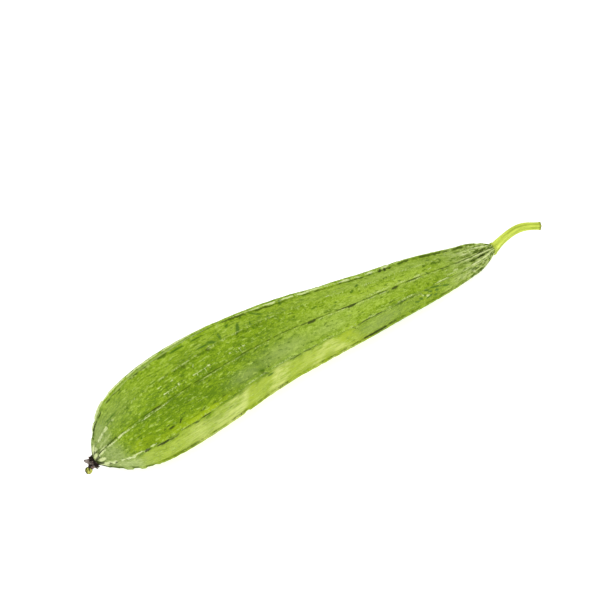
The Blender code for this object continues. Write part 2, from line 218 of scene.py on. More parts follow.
# The pale strokes along the rib that forms the upper outline, near rib coordinate 3.95 to 4.0, are a painted rim
# highlight. The others are pale marks.
PALE_STROKES = (
    (97, 18, 95, 28, 9, 100), (96, 35, 95, 55, 9, 90), (97, 58, 98, 70, 8, 90), (96, 78, 96, 88, 7, 70),
    (95, 100, 94, 115, 8, 90), (95, 120, 97, 150, 7, 80), (95, 895, 95, 912, 10, 100), (100, 925, 100, 985, 9, 120),
    (130, 21, 113, 36, 10, 110), (120, 635, 122, 700, 20, 50), (120, 715, 120, 745, 20, 55),
    (118, 755, 122, 785, 20, 55), (4, 12, 3, 18, 12, 120), (4, 24, 3, 27, 12, 120), (4, 38, 4, 55, 8, 80),
    (5, 60, 5, 76, 8, 110), (5, 88, 4, 100, 8, 80), (4, 715, 4, 745, 8, 60), (3, 800, 3, 840, 8, 80),
    (0, 905, 0, 940, 9, 100), (1, 945, 3, 975, 9, 100), (398, 58, 396, 128, 8, 110), (395, 134, 395, 215, 8, 110),
    (395, 222, 397, 292, 8, 110), (398, 300, 400, 350, 8, 100), (300, 362, 300, 410, 7, 80),
    (175, 150, 172, 157, 11, 80), (172, 174, 168, 181, 11, 90), (168, 222, 176, 229, 11, 80),
    (166, 250, 160, 252, 9, 60), (203, 272, 212, 280, 10, 90), (212, 560, 218, 568, 10, 100),
    (28, 155, 34, 157, 8, 80), (-45, 781, -51, 788, 18, 140), (-26, 767, -36, 772, 13, 130),
    (-18, 764, -22, 766, 10, 70), (-62, 920, -72, 927, 16, 100), (-12, 885, -10, 915, 9, 80),
    (40, 862, 35, 876, 13, 90), (75, 840, 70, 850, 12, 60), (20, 840, 20, 870, 12, 60), (175, 902, 170, 914, 16, 80),
    (185, 925, 160, 928, 12, 90), (140, 800, 150, 812, 14, 60), (230, 830, 220, 845, 14, 60),
    (275, 868, 260, 872, 14, 80), (-55, 880, -65, 905, 14, 60),
)
# The pale bumps round the beak: rib coordinate, share, width round and length in mm, height in mm
KNOBS = (
    (1.4, 0.007, 2.4, 3.4, 1), (0.5, 0.013, 2.3, 4.2, 1), (2.55, 0.011, 2.4, 4, 0.6),
    (3.6, 0.009, 2.5, 3.6, 0.6), (4.7, 0.014, 2.4, 4.4, 0.6), (5.65, 0.008, 2.6, 3.6, 0.7),
    (6.7, 0.012, 2.4, 4, 0.6), (7.6, 0.009, 2.4, 3.6, 0.6), (8.6, 0.013, 2.6, 4, 0.7),
    (9.55, 0.009, 2.4, 3.6, 0.6),
)
# The sides that the photograph doesn't show have seeded strokes, between these rib coordinates and shares
HIDDEN_STROKES, HIDDEN_SEED = 110, 11
HIDDEN_RIBS, HIDDEN_SHARES = (3.6, 8.4), (0.03, 0.95)
STROKE_EDGE = 0.40  # how softly a stroke ends across its width, as a share of it
# Healed scars, each a pale lengthwise line with short ticks across it: rib coordinate, from, to
SCARS = ((1.36, 0.152, 0.186), (1.36, 0.216, 0.253), (1.34, 0.300, 0.338))
SCAR_TICKS = 4
SCAR_EASE = 0.002  # the share over which a scar's line comes and goes
# The side that lay on the ground: how cream and how yellow it is along its length
GROUND_CREAM = (
    (0, 0), (0.062, 0), (0.078, 0.2), (0.16, 0.2), (0.18, 0.55), (0.24, 0.5), (0.3, 0.8), (0.315, 0.15),
    (0.37, 0.2), (0.39, 0.95), (0.41, 0.8), (0.43, 0.2), (0.49, 0.3), (0.505, 0.6), (0.525, 0.68), (0.54, 0.1),
    (0.61, 0), (0.84, 0), (0.88, 0.35), (0.95, 0.3), (1, 0),
)
GROUND_YELLOW = (
    (0, 0), (0.06, 0.1), (0.08, 0.6), (0.17, 0.62), (0.3, 0.5), (0.31, 1), (0.38, 0.9), (0.42, 0.9), (0.5, 0.9),
    (0.535, 1), (0.565, 1), (0.585, 0.15), (0.75, 0.1), (1, 0),
)
# Broad tones between ribs: rib coordinate, share, reach in rib coordinates and share, lighter (+) or darker (-)
TONES = (
    (2.5, 0.2, 0.8, 0.16, 0.3), (1.7, 0.1, 0.5, 0.08, 0.15), (0.6, 0.18, 0.45, 0.13, -0.6),
    (0.22, 0.085, 0.3, 0.035, -0.45), (2.4, 0.13, 0.7, 0.07, -0.18), (0.5, 0.33, 0.3, 0.06, -0.3),
    (1.5, 0.27, 0.5, 0.1, -0.25), (1.5, 0.44, 0.5, 0.08, -0.15), (1.5, 0.62, 0.6, 0.12, 0.4),
    (1.3, 0.74, 0.5, 0.08, 0.45), (0.5, 0.55, 0.5, 0.1, 0.25), (0.5, 0.75, 0.5, 0.12, -0.1),
    (-0.5, 0.72, 0.5, 0.12, -0.5), (0.3, 0.66, 0.5, 0.1, -0.22), (0.3, 0.5, 0.4, 0.08, 0.3),
    (2.6, 0.9, 0.8, 0.06, 0.6), (0.25, 0.41, 0.35, 0.06, 0.35), (-0.45, 0.8, 0.4, 0.04, -0.35),
    (-0.5, 0.035, 0.6, 0.03, 0.6),
)
# The grey-green bloom and the yellow patches, in the same way
BLOOMS = (
    (0.38, 0.42, 0.42, 0.08, 0.62), (0.3, 0.31, 0.25, 0.04, 0.55), (0.45, 0.53, 0.35, 0.06, 0.4),
    (-0.5, 0.66, 0.5, 0.06, 0.45), (2.4, 0.06, 0.9, 0.05, 0.4), (1.5, 0.91, 2.2, 0.07, 0.5),
    (2.4, 0.74, 0.7, 0.16, 0.22), (-0.5, 0.036, 0.55, 0.03, 0.95), (1.1, 0.6, 0.5, 0.2, 0.2),
)
YELLOWS = (
    (0.26, 0.078, 0.3, 0.024, 0.5), (0.08, 0.14, 0.14, 0.06, 0.45), (1.5, 0.63, 0.35, 0.1, 0.2),
    (-0.45, 0.79, 0.35, 0.035, 0.55), (0.04, 0.2, 0.08, 0.075, 0.75), (-0.3, 0.58, 0.3, 0.02, 0.95),
    (-0.65, 0.588, 0.3, 0.016, 0.95),
)


# --- shape ------------------------------------------------------------------------------------------------------------


def spline(knots, at):
    """A natural cubic spline through (place, value) knots, read at each place."""
    x, y = np.array(knots, float).T
    step = np.diff(x)
    count = len(x)
    system = np.eye(count)
    bend = np.zeros(count)
    for i in range(1, count - 1):
        system[i, i - 1 : i + 2] = step[i - 1], 2 * (step[i - 1] + step[i]), step[i]
        bend[i] = 6 * ((y[i + 1] - y[i]) / step[i] - (y[i] - y[i - 1]) / step[i - 1])
    bend = np.linalg.solve(system, bend)
    at = np.asarray(at, float)
    i = np.clip(np.searchsorted(x, at, side="right") - 1, 0, count - 2)
    after, before, wide = at - x[i], x[i + 1] - at, step[i]
    return (
        (bend[i] * before**3 + bend[i + 1] * after**3) / (6 * wide)
        + (y[i] / wide - bend[i] * wide / 6) * before
        + (y[i + 1] / wide - bend[i + 1] * wide / 6) * after
    )


def read_table(table, at):
    return np.interp(at, *zip(*table))


def rounded(share):
    """0 to 1 along a quarter of an ellipse."""
    return np.sqrt(1 - (1 - np.clip(share, 0, 1)) ** 2)


def eased(x, low, high):
    """0 at low, 1 at high, and smooth between. Low may be the larger."""
    t = np.clip((x - low) / (high - low), 0, 1)
    return t * t * (3 - 2 * t)


def bell(x, width):
    return np.exp(-((x / width) ** 2))


def around(count):
    """Angles of a ring's points, evenly round from 0."""
    return np.arange(count) * 2 * math.pi / count


def rough(points, size, seed=0.0):
    """Smooth noise from about -1 to 1 at each of an array's points, its lumps about size wide."""
    flat = np.reshape(points, (-1, 3)) / size + seed
    found = np.array([noise.noise(p) for p in flat.tolist()])
    return found.reshape(np.shape(points)[:-1])


def fruit_radius(s):
    """The fruit's radius between ribs at shares of its length, with its round ends, beak and seat."""
    girth = spline(GIRTH_MM, s) * MM
    cap = rounded(s / FLOWER_CAP) * rounded((1 - s) / STALK_CAP)
    least = BEAK_RADIUS + (SEAT_RADIUS - BEAK_RADIUS) * s
    return np.cbrt((girth * cap) ** 3 + least**3)


def fruit_line(s):
    """Points of the fruit's centre line. Its height keeps the underside level, and arched towards the stalk."""
    girth = spline(GIRTH_MM, s) * MM
    arch = ARCH_HEIGHT * np.sin(math.pi * np.clip((s - ARCH_FROM) / (ARCH_TO - ARCH_FROM), 0, 1)) ** 2
    height = (girth + RIB_HEIGHT) * math.cos(math.radians(REST_RIB_DEGREES)) - FLAT_DEPTH + arch
    return np.stack([s * FRUIT_LENGTH, spline(BOW_MM, s) * MM, height], axis=-1)


def rib_angles(s):
    """The angle of each rib at every station, and of the first rib again after a full turn."""
    number = np.arange(RIBS)
    share = s[:, None]
    wander = WANDER_DEGREES * np.sin(2 * math.pi * (1.3 * share + 0.37 * number))
    angles = np.radians((1 - share) * np.array(FLOWER_DEGREES) + share * np.array(STALK_DEGREES) + wander)
    return np.concatenate([angles, angles[:, :1] + 2 * math.pi], axis=1)


def frames(line):
    """Tangent, side (towards +Y) and up vectors along a line of points."""
    tangent = np.gradient(line, axis=0)
    tangent /= np.linalg.norm(tangent, axis=1)[:, None]
    side = np.cross((0.0, 0.0, 1.0), tangent)
    side /= np.linalg.norm(side, axis=1)[:, None]
    return tangent, side, np.cross(tangent, side)


def end_frame(share):
    """Centre, outward direction, side and up at the fruit's flower end (share 0) or stalk end (share 1)."""
    s = np.array([0, END_STEP]) if share == 0 else np.array([1 - END_STEP, 1])
    line = fruit_line(s)
    tangent, side, up = frames(line)
    return (line[0], -tangent[0], -side[0], up[0]) if share == 0 else (line[1], tangent[1], side[1], up[1])


def skin_fractions(rib_share):
    """Shares of a panel, from its first rib, at which its points stand: close together on the ribs' sides."""
    up_side = np.linspace(0, 1, RIB_POINTS + 1)[:-1] ** 1.15
    over = np.linspace(0, 1, PANEL_POINTS)
    q = rib_share[..., None]
    return np.concatenate([q * up_side, q + (1 - 2 * q) * over, 1 - q * up_side[:0:-1]], axis=-1)


def spots(u, s, table):
    """A table's soft round spots: rib coordinate, share, reach in each of them, and strength."""
    for at_u, at_s, reach_u, reach_s, strength in table:
        yield strength * np.exp(-(((u - at_u) / reach_u) ** 2) - ((s - at_s) / reach_s) ** 2)


def round_from(u, at):
    """How far u is round the fruit from a rib coordinate, the shorter way."""
    return (u - at + RIBS / 2) % RIBS - RIBS / 2


def mm_spot(u, s, panel, at_u, at_s, wide, long):
    """A spot at (rib coordinate, share), as wide and long as is given in mm. Panel is each panel's width in mm."""
    across = round_from(u, at_u) * panel / (wide / 2)
    along = (s - at_s) * FRUIT_LENGTH / MM / (long / 2)
    return np.exp(-(across**2) - along**2)


def mm_stroke(u, s, panel, stroke):
    """A stroke from one (rib coordinate, share) to another, as wide as is given in mm, that tapers to its ends."""
    from_u, from_s, to_u, to_s, wide = stroke
    along, across = (s - from_s) * FRUIT_LENGTH / MM, round_from(u, from_u) * panel
    run_along, run_across = (to_s - from_s) * FRUIT_LENGTH / MM, (to_u - from_u) * panel
    t = np.clip((along * run_along + across * run_across) / (run_along**2 + run_across**2 + 1e-9), 0, 1)
    away = (along - t * run_along) ** 2 + (across - t * run_across) ** 2
    return (0.65 + 0.45 * np.sin(math.pi * t)) * np.exp(-away / (STROKE_EDGE * wide) ** 2)


def drawn_strokes(table):
    """A table's strokes in rib coordinates, shares and mm."""
    return (np.array(table) / STROKE_UNITS).tolist()


def hidden_strokes():
    """Strokes of the same kinds for the sides that the photograph doesn't show."""
    draw = np.random.default_rng(HIDDEN_SEED)
    made = []
    for number in range(HIDDEN_STROKES):
        at_u, at_s = draw.uniform(*HIDDEN_RIBS), draw.uniform(*HIDDEN_SHARES)
        if number % 2:  # along a rib's side
            at_u = round(at_u) + 0.03
            to_u, to_s, wide, strength = at_u, at_s + draw.uniform(0.006, 0.03), 0.9, draw.uniform(0.8, 1.6)
        else:
            to_u, to_s = at_u + draw.normal(0, 0.12), at_s + draw.uniform(0.003, 0.016)
            wide, strength = draw.uniform(0.9, 2.0), draw.uniform(0.5, 1.2)
        made.append((at_u, at_s, to_u, to_s, wide, strength))
    return made


def beak_knobs(u, s, panel):
    """The knobs round the beak, as a mask and as heights in mm."""
    knobs, heights = np.zeros(u.shape), np.zeros(u.shape)
    for at_u, at_s, across, along, rise in KNOBS:
        knob = mm_spot(u, s, panel, at_u, at_s, across, along)
        knobs, heights = np.maximum(knobs, knob), np.maximum(heights, rise * knob)
    return knobs, heights


def skin_marks(u, s, panel, unevenness):
    """Masks of the marks on the skin: dark stains, soft smudges, dark dashes and pale scars. Among them are painted
    shade (stains and dashes) and a painted rim highlight (scars).
    """
    stain_and_shade, smudge, dash, scar_and_rim_light = (np.zeros(u.shape) for _ in range(4))
    for *stroke, strength in (*drawn_strokes(DARK_STROKES), *hidden_strokes()):
        kept = stain_and_shade if strength >= NICK else smudge if stroke[-1] >= WIDE_STROKE else dash
        np.maximum(kept, strength * mm_stroke(u, s, panel, stroke), out=kept)
    # Pale marks, and a painted rim highlight along the upper outline
    for *stroke, strength in drawn_strokes(PALE_STROKES):
        scar_and_rim_light = np.maximum(scar_and_rim_light, strength * mm_stroke(u, s, panel, stroke))
    for at_u, start, end in SCARS:
        run = eased(s, start - SCAR_EASE, start + SCAR_EASE) * eased(s, end + SCAR_EASE, end - SCAR_EASE)
        ladder = run * bell((u - at_u) * panel, 0.45) * (0.5 + 0.4 * unevenness)
        start_knot = mm_spot(u, s, panel, at_u, start + SCAR_EASE, 1.1, 2.0)
        end_knot = mm_spot(u, s, panel, at_u + 0.01, end - SCAR_EASE, 1.5, 2.0)
        scar_and_rim_light = reduce(np.maximum, (ladder, start_knot, end_knot), scar_and_rim_light)
        for number, at_s in enumerate(np.linspace(start + 0.006, end - 0.004, SCAR_TICKS)):
            reach = 2.0 + 1.5 * ((number * 7) % 3)
            tick = mm_spot(u, s, panel, at_u - 0.08 - 0.02 * number, at_s, reach, 0.9)
            scar_and_rim_light = np.maximum(scar_and_rim_light, 0.55 * tick)
    return stain_and_shade, smudge, dash, scar_and_rim_light


def build_skin(settings):
    """The fruit's skin as arrays by station and column: its points, their straightened places, and masks by name."""
    t = np.linspace(0, 1, SKIN_STATIONS)
    s = 0.55 * t + 0.45 * (1 - np.cos(math.pi * t)) / 2  # closer together at both ends
    line, radius, angles = fruit_line(s), fruit_radius(s), rib_angles(s)
    _, side, up = frames(line)
    first, last = angles[:, :-1], angles[:, 1:]
    wide = (last - first) * radius[:, None]
    half = np.minimum(RIB_HALF_WIDTH, RIB_MOST_OF_PANEL * wide)
    f = skin_fractions(np.minimum(RIB_POINTS_REACH * half / wide, RIB_POINTS_MOST))
    share, girth, panel, half = (
        np.broadcast_to(x, f.shape) for x in (s[:, None, None], radius[:, None, None], wide[..., None], half[..., None])
    )
    panel_mm = panel / MM
    angle = first[..., None] + (last - first)[..., None] * f
    near = np.where(f < 0.5, f, f - 1) * panel  # signed distance from the nearest rib, + towards the next
    off = np.abs(near)
    rib = (np.arange(RIBS)[None, :, None] + (f >= 0.5)) % RIBS
    u = np.arange(RIBS)[None, :, None] + f
    u = np.where(u > HIGHEST_RIB_COORDINATE, u - RIBS, u)

    # What all noise reads: the straightened place on the skin, drawn out along it or across it, or only along a rib
    place = np.stack([share * FRUIT_LENGTH, girth * np.cos(angle), girth * np.sin(angle)], axis=-1)
    long_place, cross_place = place * DRAWN_ALONG, place * DRAWN_ACROSS
    along_rib = np.stack([share * FRUIT_LENGTH, *(rib * apart for apart in RIBS_APART)], axis=-1)

    def rib_rough(size, seed):
        return rough(along_rib, size, seed)

    def end_rough(squeeze, size, seed):
        """Noise for furrows and veins, which hardly changes along the fruit."""
        return rough(np.stack([share * squeeze, np.cos(angle), np.sin(angle)], axis=-1), size, seed)

    neck, extra_ribs, shoulder, tip, beak, beaded = (
        eased(share, *zone) for zone in (NECK, EXTRA_RIBS, SHOULDER, TIP, BEAK, BEADED)
    )

    # Ribs: their height and breadth vary along them, with nicks, and a shallow groove runs beside each
    vary = 1 + 0.22 * rib_rough(0.012, 3.1) + 0.16 * rib_rough(0.0035, 7.7)
    vary *= 1 - 0.45 * eased(rib_rough(0.006, 21.3), 0.35, 0.6)
    beside = np.abs(near - 0.25 * MM * rib_rough(0.014, 40.2))
    crest = np.cos(math.pi / 2 * np.clip(beside / half, 0, 1)) ** settings.crest_sharpness
    fullness = np.minimum(1, girth / FULL_RIB_RADIUS)
    groove = bell(off - 1.15 * half, 0.42 * half)
    groove_depth = settings.groove_depth * (0.7 + 0.5 * rib_rough(0.009, 12.9))

    # Towards the flower end the ribs break up into beads, and end in knobs round the beak
    beads = eased(rib_rough(0.0030, 90.1), -0.12, 0.12)
    vary = vary * (1 - 0.5 * beaded) + 0.75 * beaded * beads * eased(share, 0.004, 0.015)
    knobs, knob_height = beak_knobs(u, share, panel_mm)

    swell = 1 + SWELL * (np.sin(11 * share + 2 * angle) + np.sin(17 * share - angle + 1.1)) / 2
    sag = read_table(PANEL_SAG, s)[:, None, None]
    out = girth * swell * (1 - sag * 4 * f * (1 - f))
    out += settings.rib_height * fullness * vary * crest
    out -= groove_depth * groove * fullness

    # The panels' own relief
    flat = 1 - 0.6 * crest
    out += settings.undulation * flat * rough(place, 0.019, 5.5)
    out += 0.45 * settings.undulation * flat * rough(long_place, 0.0042, 9.1)
    out += settings.wrinkles * flat * rough(cross_place, 0.0016, 15.2)

    # Furrows and small extra ribs drawn together at the neck, and raised veins at the flower end
    drawn_in = end_rough(0.045, 0.19, 31.7)
    between = bell(f - 0.5 - 0.06 * np.sin(9 * share), 0.10) + 0.6 * bell(f - 0.27, 0.06) + 0.6 * bell(f - 0.75, 0.06)
    furrows = sum(bell(f - at, breadth) for at, breadth in FURROWS)
    veins = 0.5 + 0.5 * end_rough(0.02, 0.16, 77.0)
    out += MM * shoulder * (0.75 * neck * drawn_in + 0.45 * extra_ribs * between - 0.5 * neck * furrows)
    out += 0.30 * MM * tip * beak * (veins - 0.5)
    out += MM * knob_height

    # Marks pressed in or raised
    stain_and_shade, smudge, dash, scar_and_rim_light = skin_marks(u, share, panel_mm, rib_rough(0.002, 17.0))
    out += 0.16 * MM * np.clip(scar_and_rim_light, 0, 1) - 0.12 * MM * np.clip(stain_and_shade, 0, 1)

    ring = line[:, None, None] + out[..., None] * (
        np.sin(angle)[..., None] * up[:, None, None] - np.cos(angle)[..., None] * side[:, None, None]
    )
    ring[..., 2] = np.maximum(ring[..., 2], 0)

    # Broad masks: the ground side, whose bands lean, the tones and the bloom
    lean = 0.016 - 0.078 * eased(share, 0.50, 0.53) * eased(share, 0.74, 0.64)
    slant = share + lean * np.clip(-u, 0, 1.2) + 0.010 * rough(place, 0.012, 61.0)
    low_side = eased(u, -0.02, -0.16) * eased(u, -3.6, -2.9)
    edge = low_side * eased(rough(place, 0.006, 13.0) + 3.2 * np.clip(-u, 0, 1), 0.0, 0.6)
    yellow = reduce(np.maximum, spots(u, share, YELLOWS), read_table(GROUND_YELLOW, slant) * edge)
    tone = 0.32 * rough(long_place, 0.010, 2.2) + 0.35 * rough(place, 0.030, 8.8) - 0.16
    tone += 0.26 * eased(share, 0.35, 0.65) + 0.45 * neck - 0.45 * tip + 0.12 * eased(share, 0.60, 0.70)
    bloom = 0.78 * eased(share + 0.012 * rough(place, 0.008, 4.4), 0.070, 0.035)

    # The two lines of each rib, which give way to its beads: painted shade beside the crest and between the beads, and
    # a painted highlight on the crest and the beads, each partly the rib's own colour
    looks = np.array(RIB_LOOKS)[rib]
    shift = np.where(rib == TOP_RIB, read_table(TOP_RIB_SHIFT, share), looks[..., 3] * (1 - beaded))
    toward = (near * looks[..., 0] / MM - shift) / (1 + 0.45 * beaded)
    dark_edge_and_shade = looks[..., 1] * (0.32 + 0.68 * eased(rib_rough(0.0042, 66.6), -0.35, 0.25)) * eased(share, 0.0, 0.02)
    pale_crest_and_highlight = looks[..., 2] * (0.25 + 0.75 * eased(rib_rough(0.0050, 33.3), -0.2, 0.4))
    pale_crest_and_highlight = np.maximum(pale_crest_and_highlight * (1 - beaded), 0.75 * beaded * beads)

    off_knobs = np.clip(1 - 1.5 * knobs, 0, 1)
    pale = (
        0.45 * between * extra_ribs,
        0.7 * tip * eased(share, 0.014, 0.024) * eased(veins, 0.5, 0.85),
        0.45 * low_side * eased(share, 0.018, 0.036) * eased(share, 0.074, 0.060),
        knobs,
    )
    # Painted shade: in the grooves beside the ribs, in the neck's furrows and drawn-in hollows, and near the beak in
    # the panels' middles and round the knobs. The dark dashes on the ribs' dark sides are partly painted shade.
    shade = (
        0.35 * groove * (0.55 + 0.6 * rib_rough(0.004, 66.6)),
        0.8 * neck * np.clip(-drawn_in * 2.2, 0, 1),
        0.6 * neck * furrows,
        eased(share, 0.036, 0.012) * eased(off / panel, 0.22, 0.34) * (0.55 + 0.6 * veins),
        0.8 * eased(share, 0.022, 0.010) * off_knobs,
        dash,
    )
    zero_to_one = {
        "pale": reduce(np.maximum, pale),
        "shade": reduce(np.maximum, shade),
        "smudge": smudge,
        # Each rib's painted shade line and painted highlight line
        "dark_edge_and_shade": np.maximum(dark_edge_and_shade * (1 - beaded), beaded * (1 - beads)),
        "pale_crest_and_highlight": np.maximum(pale_crest_and_highlight, 0.75 * neck * eased(rib_rough(0.0040, 48.0), -0.5, 0.2)),
        # Stains and nicks, with painted shade along the lower outline and over the beak's end round the knobs
        "stain_and_shade": np.maximum(stain_and_shade, 1.2 * eased(share, 0.011, 0.006) * off_knobs),
        # Scars and knobs, with the painted rim highlight along the upper outline
        "scar_and_rim_light": np.maximum(scar_and_rim_light, 1.4 * knobs),
    }
    masks = {
        "tone": sum(spots(u, share, TONES), tone),
        "cream": read_table(GROUND_CREAM, slant) * edge,
        "yellow": yellow,
        "bloom": reduce(np.maximum, spots(u, share, BLOOMS), bloom),
        "toward": toward,
        "ends": np.maximum(neck, 0.22 * tip),
        **{name: np.clip(value, 0, 1) for name, value in zero_to_one.items()},
    }
    by_column = (len(s), -1)
    masks = {name: value.reshape(by_column) for name, value in masks.items()}
    return (ring + SHIFT).reshape(*by_column, 3), place.reshape(*by_column, 3), masks


def tube_faces(stations, sides, start):
    """The faces of a closed tube through rings of points, numbered from start."""
    low = start + np.arange(stations - 1)[:, None] * sides
    i = np.arange(sides)
    j = (i + 1) % sides
    quads = np.stack([low + i, low + j, low + sides + j, low + sides + i], axis=-1).reshape(-1, 4)
    last = start + (stations - 1) * sides
    return quads.tolist() + [list(range(start, start + sides))[::-1], list(range(last, last + sides))]


def ring_piece(name, material, rings, places, masks):
    """A piece of one closed tube through rings of points, or of several such tubes."""
    stations, sides = rings.shape[-3:-1]
    points = rings.reshape(-1, 3)
    faces = [face for start in range(0, len(points), stations * sides) for face in tube_faces(stations, sides, start)]
    mesh = bpy.data.meshes.new(name)
    mesh.from_pydata(points.tolist(), [], faces)
    return finish_piece(name, material, mesh, places, masks)


def finish_piece(name, material, mesh, places, masks):
    """Puts a mesh in the scene, smooth and facing outward, with its straightened places and masks as attributes."""
    grain = mesh.attributes.new("grain", "FLOAT_VECTOR", "POINT")
    grain.data.foreach_set("vector", np.asarray(places, np.float32).ravel())
    for key, value in masks.items():
        made = mesh.attributes.new(key, "FLOAT", "POINT")
        made.data.foreach_set("value", np.asarray(value, np.float32).ravel())
    shape = bmesh.new()
    shape.from_mesh(mesh)
    bmesh.ops.recalc_face_normals(shape, faces=shape.faces)
    shape.to_mesh(mesh)
    shape.free()
    mesh.shade_smooth()
    mesh.set_sharp_from_angle(angle=math.radians(SHARP_DEGREES))
    mesh.materials.append(material)
    made = bpy.data.objects.new(name, mesh)
    bpy.context.scene.collection.objects.link(made)
    return made


# --- materials --------------------------------------------------------------------------------------------------------

# The Mix node's sockets for colours: the factor, the colour below, the one over it, and the result
MIX_FACTOR, MIX_BELOW, MIX_OVER, MIX_RESULT = 0, 6, 7, 2


class Nodes:
    """A shader tree to add nodes to. A value is a number, a colour or another node's output."""

    def __init__(self, tree):
        self.tree = tree

    def put(self, kind, sockets=(), **settings):
        """A new node. Each socket gets a value, or a link where it is given another node's output."""
        node = self.tree.nodes.new("ShaderNode" + kind)
        for key, value in settings.items():
            setattr(node, key, value)
        for key, value in dict(sockets).items():
            if isinstance(value, bpy.types.NodeSocket):
                self.tree.links.new(value, node.inputs[key])
            else:
                node.inputs[key].default_value = value
        return node

    def math(self, operation, *values, clamp=False):
        return self.put("Math", enumerate(values), operation=operation, use_clamp=clamp).outputs[0]

    def plus(self, first, second):
        return self.math("ADD", first, second)

    def times(self, first, second, clamp=False):
        return self.math("MULTIPLY", first, second, clamp=clamp)

    def remap(self, value, low, high, to_low=0.0, to_high=1.0, **settings):
        """A value moved from one range to another, and kept inside it."""
        sockets = {"Value": value, "From Min": low, "From Max": high, "To Min": to_low, "To Max": to_high}
        return self.put("MapRange", sockets, clamp=True, **settings).outputs["Result"]

    def mask(self, name):
        return self.put("Attribute", attribute_name=name).outputs["Fac"]

    def broken(self, name, texture, amount, low, high):
        """A mask with its edges broken up by a texture, then drawn sharp between low and high."""
        return self.remap(self.plus(self.mask(name), self.remap(texture, 0, 1, -amount, amount)), low, high)

    def texture(self, group, **values):
        return self.put("Group", values, node_tree=group).outputs[0]

    def drawn_place(self, stretch):
        """The straightened place on the piece, in a space drawn out along it."""
        squeeze = self.put("CombineXYZ", {"X": self.math("DIVIDE", 1.0, stretch), "Y": 1.0, "Z": 1.0})
        place = self.put("Attribute", attribute_name="grain").outputs["Vector"]
        return self.put("VectorMath", {0: place, 1: squeeze.outputs[0]}, operation="MULTIPLY").outputs[0]


class Coat(Nodes):
    """A new material: tints painted one over another, and in the end linked to its shader."""

    def __init__(self, name, colour=(0.5, 0.5, 0.5)):
        self.made = bpy.data.materials.new(name)
        self.made.use_nodes = True
        super().__init__(self.made.node_tree)
        self.shader = self.tree.nodes["Principled BSDF"]
        self.colour = opaque(colour)

    def paint(self, factor, tint):
        sockets = {MIX_FACTOR: factor, MIX_BELOW: self.colour, MIX_OVER: opaque(tint)}
        self.colour = self.put("Mix", sockets, data_type="RGBA", clamp_factor=True).outputs[MIX_RESULT]

    def paint_mask(self, name, texture, amount, low, high, share, tint):
        """Paints a mask that a texture breaks up, as in broken, at this share of its strength."""
        self.paint(self.times(self.broken(name, texture, amount, low, high), share), tint)

    def finish(self, *relief, roughness, specular, depth):
        """Links the colour, the roughness and a bump of weighted textures, this deep in metres."""
        self.tree.links.new(self.colour, self.shader.inputs["Base Color"])
        self.tree.links.new(roughness, self.shader.inputs["Roughness"])
        height = reduce(self.plus, [self.times(texture, weight) for texture, weight in relief])
        bump = self.put("Bump", {"Height": height, "Strength": 1.0, "Distance": depth})
        self.tree.links.new(bump.outputs["Normal"], self.shader.inputs["Normal"])
        self.shader.inputs["Specular IOR Level"].default_value = specular
        return self.made


def opaque(colour):
    return (*colour, 1.0)


def new_group(name, output, **inputs):
    """An empty node group of float sockets: its nodes, its inputs by name, and the socket that takes its output."""
    tree = bpy.data.node_groups.new(name, "ShaderNodeTree")
    for label, default in inputs.items():
        socket = tree.interface.new_socket(label, in_out="INPUT", socket_type="NodeSocketFloat")
        socket.default_value = default
    tree.interface.new_socket(output, in_out="OUTPUT", socket_type="NodeSocketFloat")
    return Nodes(tree), tree.nodes.new("NodeGroupInput").outputs, tree.nodes.new("NodeGroupOutput").inputs[output]


def grain_group():
    """Noise drawn out along the piece: fine mottling."""
    group, given, taken = new_group(
        "Long grain", "Value", Size=0.002, Stretch=4.0, Low=0.35, High=0.65, Detail=3.0, Seed=0.0
    )
    moved = group.put("VectorMath", {0: group.drawn_place(given["Stretch"]), 1: given["Seed"]}, operation="ADD")
    scale = group.math("DIVIDE", 1.0, given["Size"])
    sockets = {"Vector": moved.outputs[0], "Scale": scale, "Detail": given["Detail"], "Roughness": 0.6}
    found = group.put("TexNoise", sockets)
    group.tree.links.new(group.remap(found.outputs["Fac"], given["Low"], given["High"]), taken)


def speck_group():
    """Small round specks scattered over the piece: one to a cell, only in some cells, of uneven size."""
    group, given, taken = new_group("Specks", "Mask", Spacing=0.002, Reach=0.3, Share=0.6, Stretch=1.0)
    scale = group.math("DIVIDE", 1.0, given["Spacing"])
    sockets = {"Vector": group.drawn_place(given["Stretch"]), "Scale": scale, "Randomness": 0.9}
    cell = group.put("TexVoronoi", sockets)
    apart = group.put("SeparateColor", {"Color": cell.outputs["Color"]})
    there = group.math("LESS_THAN", apart.outputs[0], given["Share"])
    reach = group.times(given["Reach"], group.remap(apart.outputs[1], 0.0, 1.0, 0.5, 1.2))
    inner = group.times(reach, 0.35)
    dot = group.remap(cell.outputs["Distance"], reach, inner, interpolation_type="SMOOTHSTEP")
    group.tree.links.new(group.times(dot, there), taken)


def groups():
    """The node groups that the three materials share, built once."""
    if "Long grain" not in bpy.data.node_groups:
        grain_group()
        speck_group()
    return bpy.data.node_groups["Long grain"], bpy.data.node_groups["Specks"]


